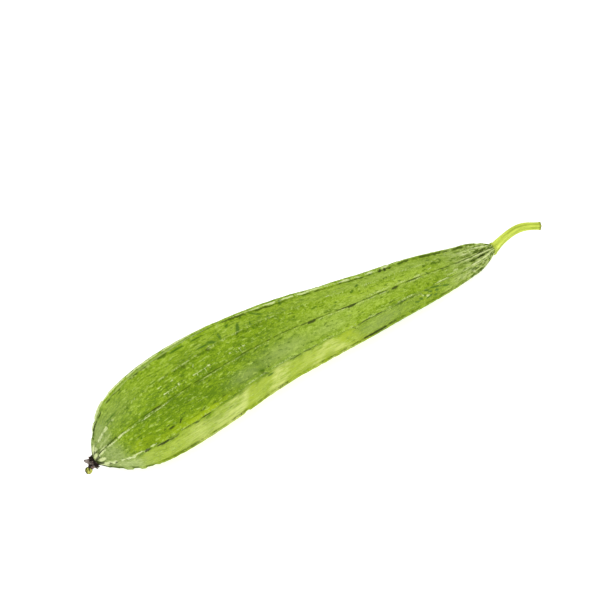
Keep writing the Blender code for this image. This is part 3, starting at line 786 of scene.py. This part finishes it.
def skin_material(settings):
    """The fruit's skin: mottled green with pale ribs, dark grooves, a ground side, bloom, scars and specks."""
    grain, specks = groups()
    coat = Coat("gourd_skin")
    broad = coat.texture(grain, Size=0.0046, Stretch=2.0, Low=0.32, High=0.68)
    fine = coat.texture(grain, Size=0.0013, Stretch=2.8, Low=0.30, High=0.70)
    tiny = coat.texture(grain, Size=0.0006, Stretch=1.2, Low=0.32, High=0.68, Seed=0.7)
    dark_strokes = coat.texture(grain, Size=0.0015, Stretch=3.4, Low=0.61, High=0.66, Detail=2.0, Seed=1.3)
    pale_strokes = coat.texture(grain, Size=0.0013, Stretch=3.2, Low=0.61, High=0.66, Detail=2.0, Seed=2.1)
    pale_streaks = coat.texture(grain, Size=0.0016, Stretch=6.0, Low=0.35, High=0.65, Seed=5.1)
    end_streaks = coat.texture(grain, Size=0.0012, Stretch=5.0, Low=0.45, High=0.55, Detail=2.0, Seed=3.7)
    pale_specks = coat.texture(specks, Spacing=0.0017, Reach=0.42, Share=0.60, Stretch=1.6)
    dark_specks = coat.texture(specks, Spacing=0.0024, Reach=0.40, Share=0.35, Stretch=1.8)

    level = coat.math("MULTIPLY_ADD", coat.mask("tone"), 0.42, 0.5)
    for texture, reach in ((broad, 0.17), (fine, 0.31), (tiny, 0.30)):
        level = coat.plus(level, coat.remap(texture, 0, 1, -reach, reach))
    ramp = coat.put("ValToRGB", {"Fac": level})
    ramp.color_ramp.elements.new(0.5)
    for stop, tint in zip(ramp.color_ramp.elements, (settings.dark_green, settings.green, settings.light_green)):
        stop.color = opaque(tint)
    coat.colour = ramp.outputs["Color"]

    patchy = coat.remap(coat.plus(broad, fine), 0.3, 1.7, 0.50, 1.0)
    grainy = coat.remap(coat.plus(broad, pale_streaks), 0.4, 1.5, 0.20, 1.0)
    yellow = coat.times(coat.mask("yellow"), patchy, clamp=True)
    cream = coat.times(coat.mask("cream"), grainy, clamp=True)
    bloom = coat.times(coat.mask("bloom"), coat.remap(fine, 0, 1, 0.86, 1.0), clamp=True)
    coat.paint(yellow, settings.ground_yellow)
    coat.paint(cream, settings.ground_cream)
    coat.paint(bloom, settings.bloom)
    # Painted shade in the grooves, furrows and hollows, with the dark dashes beside the ribs
    coat.paint_mask("shade", fine, 0.3, 0.25, 0.75, 0.8, settings.shade_and_streak_green)
    coat.paint_mask("smudge", fine, 0.25, 0.20, 0.80, 0.88, settings.smudge_green)
    coat.paint_mask("pale", fine, 0.3, 0.30, 0.70, 0.7, settings.rib_green)
    ends = coat.mask("ends")
    coat.paint(coat.times(ends, coat.remap(end_streaks, 0.55, 1.0, 0.0, 0.80)), settings.rib_green)
    coat.paint(coat.times(ends, coat.remap(end_streaks, 0.30, 0.0, 0.0, 0.65)), settings.shade_and_streak_green)

    # Specks and strokes, fainter under the bloom. The pale ones are partly painted glints of the skin's tiny bumps.
    clear = coat.remap(coat.mask("bloom"), 0.2, 0.9, 1.0, 0.50)
    off_ground = coat.times(clear, coat.remap(coat.plus(yellow, cream), 0.1, 0.7, 1.0, 0.3))
    for spotted, strength, tint, where in (
        (dark_specks, 0.42, settings.dark_green, off_ground),
        (dark_strokes, 0.68, settings.deep_green, off_ground),
        (pale_specks, 0.28, settings.speck_and_glint_green, clear),
        (pale_strokes, 0.50, settings.speck_and_glint_green, clear),
    ):
        coat.paint(coat.times(coat.times(spotted, strength), where), tint)

    # A rib's two lines, pale on its crest as a painted highlight and dark beside it as painted shade, each partly the
    # rib's own colour, wavering a little. Distances in mm.
    toward = coat.plus(coat.mask("toward"), coat.remap(fine, 0, 1, -0.22, 0.22))
    for offset, width, name, tint, share in (
        (0.50, 0.45, "dark_edge_and_shade", settings.shade_and_streak_green, 0.90),
        (-0.30, 0.38, "pale_crest_and_highlight", settings.crest_and_highlight_green, 0.75),
    ):
        away = coat.math("ABSOLUTE", coat.math("SUBTRACT", toward, offset))
        line = coat.times(coat.remap(away, width, 0.4 * width), coat.broken(name, tiny, 0.25, 0.15, 0.75))
        coat.paint(coat.times(line, share), tint)

    # Stains and nicks, and painted shade along the lower outline and at the beak's end
    coat.paint_mask("stain_and_shade", tiny, 0.30, 0.35, 0.75, 0.85, settings.stain_and_shade)
    # Pale scars and knobs, and the painted rim highlight along the upper outline
    coat.paint_mask("scar_and_rim_light", tiny, 0.30, 0.35, 0.80, 0.75, settings.scar_and_rim_light)
    roughness = coat.remap(coat.plus(fine, bloom), 0.0, 1.6, 0.44, 0.66)
    relief = ((fine, 0.9), (tiny, 0.5), (pale_specks, 0.6), (dark_specks, -0.5))
    return coat.finish(*relief, roughness=roughness, specular=0.12, depth=0.00022)


def stalk_material(settings):
    """The green stalk: streaked along its length, paler on its ridges as a painted highlight and darker between them as
    painted shade, with a collar and a dry cut end.
    """
    grain, specks = groups()
    coat = Coat("gourd_stalk", settings.dark_green)
    streaks = coat.texture(grain, Size=0.0009, Stretch=12.0, Low=0.30, High=0.70)
    fine = coat.texture(grain, Size=0.0005, Stretch=3.0, Low=0.30, High=0.70)
    dots = coat.texture(specks, Spacing=0.0012, Reach=0.30, Share=0.35, Stretch=2.0)
    # Painted highlight on the ridges and painted shade between them, with the streaks
    level = coat.math("MULTIPLY_ADD", coat.mask("ridge"), 0.34, coat.remap(streaks, 0, 1, 0.10, 0.56))
    coat.paint(coat.plus(level, coat.remap(fine, 0, 1, -0.12, 0.12)), settings.light_green)
    coat.paint(coat.times(dots, 0.35), settings.dark_green)
    coat.paint(coat.mask("foot"), settings.foot_green)
    coat.paint(coat.times(coat.mask("cut"), coat.remap(fine, 0, 1, 0.6, 1.0), clamp=True), settings.cut_brown)
    roughness = coat.remap(streaks, 0, 1, 0.42, 0.60)
    return coat.finish((streaks, 1.0), (fine, 0.4), roughness=roughness, specular=0.25, depth=0.00018)


def blossom_material(name, dark, light):
    """The dried flower's crumpled, papery browns."""
    grain, specks = groups()
    coat = Coat(name, dark)
    folds = coat.texture(grain, Size=0.0016, Stretch=2.0, Low=0.38, High=0.62)
    fine = coat.texture(grain, Size=0.0003, Stretch=1.5, Low=0.30, High=0.70)
    dots = coat.texture(specks, Spacing=0.0009, Reach=0.32, Share=0.40, Stretch=1.0)
    level = coat.math("MULTIPLY_ADD", coat.mask("dry"), 0.75, coat.remap(folds, 0, 1, -0.30, 0.45))
    level = coat.plus(level, coat.remap(fine, 0, 1, -0.12, 0.12))
    coat.paint(coat.remap(level, 0.22, 0.72), light)
    coat.paint(coat.times(dots, 0.5), dark)
    roughness = coat.remap(fine, 0, 1, 0.62, 0.9)
    return coat.finish((folds, 1.0), (fine, 0.5), roughness=roughness, specular=0.15, depth=0.00022)


# --- pieces -----------------------------------------------------------------------------------------------------------


def grow_fruit(settings):
    return ring_piece("fruit_skin", skin_material(settings), *build_skin(settings))


def stalk_line(shares):
    """The stalk's centre line, from its seat on the shoulder."""
    seat, out, side, up = end_frame(1)
    knots = np.array(STALK_LINE_MM) * MM
    t = np.append(0, np.cumsum(np.linalg.norm(np.diff(knots, axis=0), axis=1)))
    length = t[-1]
    t /= length
    along, across, rise = (spline(np.stack([t, knots[:, i]], axis=1), shares) for i in range(3))
    return seat + (along + GAP)[:, None] * out + across[:, None] * side + rise[:, None] * up, length


def grow_stalk(settings):
    """The stalk: five soft ridges, fine lengthwise ribs, a collar where it meets the fruit and a rough cut end."""
    shares = np.linspace(0, 1, STALK_STATIONS)
    line, length = stalk_line(shares)
    tangent, side, up = frames(line)
    radius = spline(STALK_RADIUS_MM, shares) * MM
    s, a = np.meshgrid(shares, around(STALK_SIDES), indexing="ij")
    place = np.stack([s * length, STALK_MEAN_RADIUS * np.cos(a), STALK_MEAN_RADIUS * np.sin(a)], axis=-1)
    ridge = np.cos(STALK_RIDGES * (a - math.radians(STALK_RIDGE_DEGREES)) + 0.8 * s)
    fibres = rough(place * (0.12, 1, 1), 0.0011, 4.0)
    lumps = rough(place * (0.7, 1, 1), 0.0045, 8.0)
    foot = eased(s, 0.085, 0.0)
    collar = bell(s - 0.035, 0.018)
    out = radius[:, None] * (1 + settings.ridge_depth * ridge + 0.035 * fibres + 0.03 * lumps)
    out += 0.28 * MM * collar * (1 + 0.5 * np.cos(RIBS * a))
    out += 0.30 * MM * foot * np.cos(RIBS * a + 0.5)
    out += 0.30 * MM * eased(s, CUT_FROM, 1.0) * (1 + rough(place, 0.0012, 6.0))
    rings = line[:, None] + out[..., None] * (
        np.cos(a)[..., None] * side[:, None] + np.sin(a)[..., None] * up[:, None]
    )
    caps, cap_places = [], []
    for share, depth in CUT_RINGS:
        cap_places.append(place[-1] * (1, share, share))
        chipped = 0.14 * rough(cap_places[-1] + depth * MM, 0.0012, 17.0)
        middle = line[-1] + tangent[-1] * (depth * MM)
        caps.append(middle + share * (rings[-1] - line[-1]) + (chipped * MM)[:, None] * tangent[-1])
    # Each mask on the stalk's side, and its value over the cut
    masks = {
        # Painted highlight on the ridges and painted shade between them, with the fibres and lumps
        "ridge": (0.5 + 0.5 * ridge + 0.35 * fibres + 0.4 * lumps, 0.4),
        "foot": (0.55 * foot, 0.0),
        "cut": (0.8 * eased(s + 0.01 * fibres, CUT_FROM, 0.99), 0.9),
    }
    cut = (len(CUT_RINGS), STALK_SIDES)
    masks = {name: np.concatenate([outside, np.full(cut, value)]) for name, (outside, value) in masks.items()}
    rings, places = np.concatenate([rings, caps]) + SHIFT, np.concatenate([place, cap_places])
    return ring_piece("stalk_skin", stalk_material(settings), rings, places, masks)


def drooped(along):
    """The middle of the dried core at this distance from its seat, in the seat's frame."""
    droop = DROOP * (along / BEAD_FROM_SEAT) ** 2
    turn = math.radians(DROOP_DEGREES)
    return np.array([droop * math.cos(turn), droop * math.sin(turn), along])


def set_on_beak(made):
    seat, out, side, up = end_frame(0)
    place = Matrix(np.stack([side, up, out]).T.tolist()).to_4x4()
    place.translation = Vector(seat + GAP * out + SHIFT)
    made.data.transform(place)
    made.data.update()
    return made


def grow_core(settings):
    """The shrunken flower base, pleated by its drying veins."""
    along = np.linspace(CORE_MM[0][0], CORE_MM[-1][0], CORE_STATIONS)
    a, z = np.meshgrid(around(CORE_SIDES), along)
    radius = read_table(CORE_MM, z)
    place = np.stack([z * MM, radius * MM * np.cos(a), radius * MM * np.sin(a)], axis=-1)
    pleat = np.cos(5 * a + 0.35 * z) + 0.45 * np.cos(11 * a - 0.6 * z + 1)
    crumple = rough(place, 0.0011, 2.0)
    out = radius * (1 + 0.14 * pleat + 0.26 * crumple)
    middle = np.stack([drooped(v * MM) for v in along])
    rings = middle[:, None] + MM * np.stack([out * np.cos(a), out * np.sin(a), 0.25 * crumple], axis=-1)
    # Paler on the outward pleats and crumples, darker in their hollows and at the base by the fruit: painted shade on
    # the brown
    dry = np.clip((0.30 + 0.9 * crumple + 0.35 * pleat) * eased(z, 0.2, 1.4), 0, 1)
    material = blossom_material("dried_core", settings.dark_brown, settings.brown)
    return set_on_beak(ring_piece("blossom_core", material, rings, place, {"dry": dry}))


def grow_sepals(settings):
    """The five dried sepals, thin curled blades with crisped edges, as one piece."""
    shares = np.linspace(0, 1, SEPAL_STATIONS)
    s, a = np.meshgrid(shares, around(SEPAL_SIDES), indexing="ij")
    half = SEPAL_HALF_WIDTH * (1 - 0.70 * shares**2.2)
    thick = SEPAL_HALF_THICKNESS * (1 - 0.55 * shares)
    axis = np.array([0, 0, 1.0])
    rings, places, dry = [], [], []
    for number, (length_mm, *degrees) in enumerate(SEPALS):
        length = length_mm * MM
        turn, lean, twist = (math.radians(d) for d in degrees)
        outward = np.array([math.cos(turn), math.sin(turn), 0])
        flat_across = np.array([-math.sin(turn), math.cos(turn), 0])
        blade = outward * math.sin(lean) + axis * math.cos(lean)
        across = math.cos(twist) * flat_across + math.sin(twist) * np.cross(blade, flat_across)
        face = np.cross(blade, across)
        curl = SEPAL_CURL * length * shares**2
        line = 1.2 * MM * axis + 0.8 * MM * outward + shares[:, None] * length * blade - curl[:, None] * axis
        place = np.stack([s * length, half[:, None] * np.cos(a), 0 * a + number * 0.01], axis=-1)
        crisp = rough(place, 0.0009, 3.0 + number)
        cup = 0.28 * MM * np.cos(a) ** 2 * (1 - 0.4 * s)
        wave = 0.22 * MM * crisp * (0.4 + np.abs(np.cos(a)))
        rings.append(
            line[:, None]
            + (half[:, None] * np.cos(a) * (1 + 0.18 * crisp))[..., None] * across
            + (thick[:, None] * np.sin(a) + cup + wave)[..., None] * face
        )
        places.append(place)
        dry.append(np.clip(0.50 * np.sin(math.pi * s) + 0.4 * crisp, 0, 1))
    material = blossom_material("dried_sepals", settings.dark_brown, settings.straw)
    return set_on_beak(ring_piece("blossom_sepals", material, np.stack(rings), np.stack(places), {"dry": dry}))


def grow_bead(settings):
    """The bead of the old stigma, green-olive and furrowed into three lobes, with painted shade on one side and towards
    its seat.
    """
    shape = bmesh.new()
    bmesh.ops.create_icosphere(shape, subdivisions=5, radius=1.0)
    mesh = bpy.data.meshes.new("blossom_bead")
    shape.to_mesh(mesh)
    shape.free()
    ball = np.array([v.co for v in mesh.vertices])
    lobes = np.cos(BEAD_LOBES * np.arctan2(ball[:, 1], ball[:, 0]))
    place = ball * BEAD_RADIUS
    lumps = rough(place, 0.0011, 11.0)
    out = BEAD_RADIUS * (1 + 0.10 * lobes * (1 - ball[:, 2] ** 2) + 0.10 * lumps)
    points = ball * out[:, None] * (1.02, 1.02, 1.0) + drooped(BEAD_FROM_SEAT)
    mesh.vertices.foreach_set("co", points.astype(np.float32).ravel())
    # Painted shade: darker on one side and towards the seat, besides the lumps
    shaded_side = eased(ball @ np.array(BEAD_SHADED_SIDE), 0.0, 0.55)
    dry = np.clip(1.05 + 0.5 * lumps + 0.15 * lobes - 0.5 * np.clip(-ball[:, 2], 0, 1) - 1.7 * shaded_side, 0, 1)
    material = blossom_material("dried_bead", settings.dark_olive, settings.olive)
    return set_on_beak(finish_piece("blossom_bead", material, mesh, place, {"dry": dry}))


# --- stage ------------------------------------------------------------------------------------------------------------

# The photograph's camera, fitted to the outline. Angles in degrees, lens and sensor in mm.
CAMERA_AZIMUTH, CAMERA_ELEVATION = -36.07, 48.0
CAMERA_LENS, CAMERA_SENSOR = 114.82, 36.0
CAMERA_DISTANCE = 1.1
CAMERA_TARGET = Vector((-0.00392, 0.01380, 0.03115))
# The lights round that target: azimuth, elevation, distance and size
LIGHTS = {"key": (-70, 62, 1.1, 0.9), "fill": (20, 30, 1.3, 1.0), "back": (150, 55, 1.3, 0.9)}
FLOOR_HALF_WIDTH = 3.0
FLOOR_HEIGHT = -0.0002


def stand(name, data, azimuth, elevation, distance):
    """Puts a camera or light in the scene, facing the camera's target."""
    made = bpy.data.objects.new(name, data)
    bpy.context.scene.collection.objects.link(made)
    a, e = math.radians(azimuth), math.radians(elevation)
    back = Vector((math.sin(a) * math.cos(e), -math.cos(a) * math.cos(e), math.sin(e)))
    made.location = CAMERA_TARGET + distance * back
    made.rotation_euler = (CAMERA_TARGET - made.location).to_track_quat("-Z", "Y").to_euler()
    return made


def add_camera():
    data = bpy.data.cameras.new("camera")
    data.lens, data.sensor_width = CAMERA_LENS, CAMERA_SENSOR
    camera = stand("camera", data, CAMERA_AZIMUTH, CAMERA_ELEVATION, CAMERA_DISTANCE)
    bpy.context.scene.camera = camera


def add_light(name, power):
    azimuth, elevation, distance, size = LIGHTS[name]
    data = bpy.data.lights.new(name, "AREA")
    data.shape, data.size, data.energy = "DISK", size, power
    stand(name, data, azimuth, elevation, distance)


def add_floor(settings):
    mesh = bpy.data.meshes.new("studio_floor")
    half = FLOOR_HALF_WIDTH
    mesh.from_pydata([(-half, -half, 0), (half, -half, 0), (half, half, 0), (-half, half, 0)], [], [(0, 1, 2, 3)])
    floor = bpy.data.objects.new("studio_floor", mesh)
    floor.location.z = FLOOR_HEIGHT
    bpy.context.scene.collection.objects.link(floor)
    coat = Coat("studio_floor")
    coat.shader.inputs["Base Color"].default_value = opaque(settings.floor)
    coat.shader.inputs["Roughness"].default_value = 0.9
    coat.shader.inputs["Specular IOR Level"].default_value = 0.2
    coat.shader.inputs["Emission Color"].default_value = (1, 1, 1, 1)
    coat.shader.inputs["Emission Strength"].default_value = settings.floor_glow
    mesh.materials.append(coat.made)
    return floor


def set_stage(settings):
    add_camera()
    add_light("key", settings.key_power)
    add_light("fill", settings.fill_power)
    add_light("back", settings.back_power)
    world = bpy.data.worlds.new("studio")
    world.use_nodes = True
    sky = world.node_tree.nodes["Background"]
    sky.inputs["Color"].default_value = (1, 1, 1, 1)
    sky.inputs["Strength"].default_value = settings.sky
    bpy.context.scene.world = world
    bpy.context.scene.view_settings.view_transform = "Standard"
    bpy.context.scene.view_settings.look = "None"
    return add_floor(settings)


# --- add-on -----------------------------------------------------------------------------------------------------------


def number_setting(name, description, default, unit="NONE", **limits):
    limits = {"min": 0, **limits}
    return FloatProperty(name=name, description=description, default=default, unit=unit, **limits)


def size_setting(name, description, default):
    return number_setting(name, description, default, "LENGTH")


def power_setting(name, description, default):
    return number_setting(name, description, default, "POWER")


def colour_setting(name, description, default):
    return FloatVectorProperty(
        name=name, description=description, default=default, subtype="COLOR", size=3, min=0, max=1
    )


class FruitSettings(bpy.types.PropertyGroup):
    rib_height: size_setting("Rib height", "How far a rib stands over the skin beside it", RIB_HEIGHT)
    groove_depth: size_setting("Groove depth", "Depth of the groove along each side of a rib", 0.26 * MM)
    undulation: size_setting("Undulation", "Height of the low swells of the panels", 0.32 * MM)
    wrinkles: size_setting("Wrinkles", "Height of the fine wrinkles across the panels", 0.07 * MM)
    crest_sharpness: number_setting(
        "Crest sharpness", "2 gives a round crest, and more a thin one", 3.0, min=1, max=8
    )
    green: colour_setting("Green", "The skin's middle green", (0.238, 0.374, 0.006))
    dark_green: colour_setting("Dark green", "The skin's dark mottling", (0.108, 0.205, 0.0))
    deep_green: colour_setting("Deep green", "The skin's fine dark strokes", (0.070, 0.140, 0.0))
    light_green: colour_setting("Light green", "The skin's light mottling", (0.408, 0.568, 0.062))
    # The colour of painted shade in grooves, furrows and beside the ribs, and of the dark streaks at the ends
    shade_and_streak_green: colour_setting("Furrow green", "The colour of furrows and grooves", (0.055, 0.095, 0.001))
    smudge_green: colour_setting("Smudge green", "Soft dark smudges", (0.058, 0.148, 0.0))
    rib_green: colour_setting("Rib green", "The pale colour of rib crests and specks", (0.560, 0.660, 0.250))
    # Pale specks and strokes, partly painted glints of the skin's tiny bumps
    speck_and_glint_green: colour_setting("Specks", "Pale specks and strokes over the skin", (0.50, 0.66, 0.13))
    # The crest line: a painted highlight on each rib's crest, partly the crest's own cream
    crest_and_highlight_green: colour_setting("Crest", "The cream line along a rib's crest", (0.72, 0.80, 0.40))
    bloom: colour_setting("Bloom", "The grey-green bloom at the flower end", (0.310, 0.400, 0.120))
    ground_yellow: colour_setting("Ground yellow", "Yellow-green of the ground side", (0.368, 0.490, 0.004))
    ground_cream: colour_setting("Ground cream", "Cream of the side that lay on the ground", (0.700, 0.775, 0.225))
    # Dark marks, and painted shade along the lower outline and at the beak's end
    stain_and_shade: colour_setting("Stain", "Dark marks", (0.022, 0.032, 0.001))
    # Pale healed scars, and the painted rim highlight along the upper outline
    scar_and_rim_light: colour_setting("Scar", "Pale healed scars", (0.72, 0.80, 0.38))


class StalkSettings(bpy.types.PropertyGroup):
    ridge_depth: number_setting("Ridge depth", "Height of the ridges, as a share of the radius", 0.11, max=0.3)
    # The stalk's ridges and what lies between them: a painted highlight and painted shade
    light_green: colour_setting("Light green", "The stalk's ridges", (0.78, 0.90, 0.13))
    dark_green: colour_setting("Dark green", "Between the stalk's ridges", (0.25, 0.34, 0.002))
    foot_green: colour_setting("Foot green", "The stalk's collar on the fruit", (0.40, 0.50, 0.06))
    cut_brown: colour_setting("Cut end", "The dry cut end", (0.15, 0.14, 0.015))


class BlossomSettings(bpy.types.PropertyGroup):
    # Dark brown, and the colour of painted shade in the core's folds
    dark_brown: colour_setting("Dark brown", "The folds of the dried flower", (0.014, 0.008, 0.006))
    brown: colour_setting("Brown", "The dried flower's base", (0.290, 0.200, 0.170))
    straw: colour_setting("Straw", "The tips of the dried sepals", (0.36, 0.30, 0.27))
    olive: colour_setting("Olive", "The bead of the old stigma", (0.58, 0.60, 0.12))
    # Dark olive of the bead's lumps, and its painted shade on one side and towards the seat
    dark_olive: colour_setting("Dark olive", "The dried side of the bead", (0.045, 0.050, 0.004))


class StageSettings(bpy.types.PropertyGroup):
    key_power: power_setting("Key light", "Power of the main light", 6.5)
    fill_power: power_setting("Fill light", "Power of the fill light", 2.5)
    back_power: power_setting("Back light", "Power of the light behind", 3)
    sky: number_setting("Sky", "Strength of the even light from all round", 0.55)
    floor_glow: number_setting("Floor glow", "How much the floor lights its own shadows, like a light table", 0.76)
    floor: colour_setting("Floor", "Colour of the studio floor", (0.60, 0.60, 0.60))


class GOURD_OT_grow_fruit(bpy.types.Operator):
    """Grow the ribbed fruit, with its ribs, grooves, scars and mottled skin"""

    bl_idname = "gourd.grow_fruit"
    bl_label = "Grow fruit"

    def execute(self, context):
        skin = grow_fruit(context.scene.gourd_fruit)
        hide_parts("fruit")
        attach(skin, "root")
        return {"FINISHED"}


class GOURD_OT_grow_stalk(bpy.types.Operator):
    """Grow the bent green stalk on the fruit's shoulder"""

    bl_idname = "gourd.grow_stalk"
    bl_label = "Grow stalk"

    def execute(self, context):
        stalk = grow_stalk(context.scene.gourd_stalk)
        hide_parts("stalk")
        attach(stalk, "root")
        return {"FINISHED"}


class GOURD_OT_grow_dried_blossom(bpy.types.Operator):
    """Grow the dried remnant of the flower: its core, its sepals and the bead of the stigma"""

    bl_idname = "gourd.grow_dried_blossom"
    bl_label = "Grow dried flower"

    def execute(self, context):
        settings = context.scene.gourd_blossom
        core = grow_core(settings)
        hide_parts("dried_blossom")
        for piece in (core, grow_sepals(settings), grow_bead(settings)):
            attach(piece, "root")
        return {"FINISHED"}


class GOURD_OT_set_stage(bpy.types.Operator):
    """Set the studio: a pale floor, soft lights and the camera"""

    bl_idname = "gourd.set_stage"
    bl_label = "Set stage"

    def execute(self, context):
        set_stage(context.scene.gourd_stage)
        return {"FINISHED"}


class GOURD_PT_sidebar(bpy.types.Panel):
    """Sizes and colours of the gourd, and the buttons that grow it"""

    bl_label = "Ridge gourd"
    bl_idname = "GOURD_PT_sidebar"
    bl_space_type = "VIEW_3D"
    bl_region_type = "UI"
    bl_category = "Gourd"

    def draw(self, context):
        for group, _, operator in STEPS:
            box = self.layout.box()
            settings = getattr(context.scene, group)
            for name in settings.__annotations__:
                box.prop(settings, name)
            box.operator(operator)


STEPS = (
    ("gourd_fruit", FruitSettings, GOURD_OT_grow_fruit.bl_idname),
    ("gourd_stalk", StalkSettings, GOURD_OT_grow_stalk.bl_idname),
    ("gourd_blossom", BlossomSettings, GOURD_OT_grow_dried_blossom.bl_idname),
    ("gourd_stage", StageSettings, GOURD_OT_set_stage.bl_idname),
)
OPERATORS = (GOURD_OT_grow_fruit, GOURD_OT_grow_stalk, GOURD_OT_grow_dried_blossom, GOURD_OT_set_stage)


def register():
    for group, settings, _ in STEPS:
        bpy.utils.register_class(settings)
        setattr(bpy.types.Scene, group, PointerProperty(type=settings))
    for made in (*OPERATORS, GOURD_PT_sidebar):
        bpy.utils.register_class(made)


def unregister():
    for made in (GOURD_PT_sidebar, *OPERATORS[::-1]):
        bpy.utils.unregister_class(made)
    for group, settings, _ in STEPS[::-1]:
        delattr(bpy.types.Scene, group)
        bpy.utils.unregister_class(settings)


def main():
    register()
    bpy.ops.gourd.grow_fruit()
    bpy.ops.gourd.grow_stalk()
    bpy.ops.gourd.grow_dried_blossom()
    bpy.ops.gourd.set_stage()


if __name__ == "__main__":
    main()
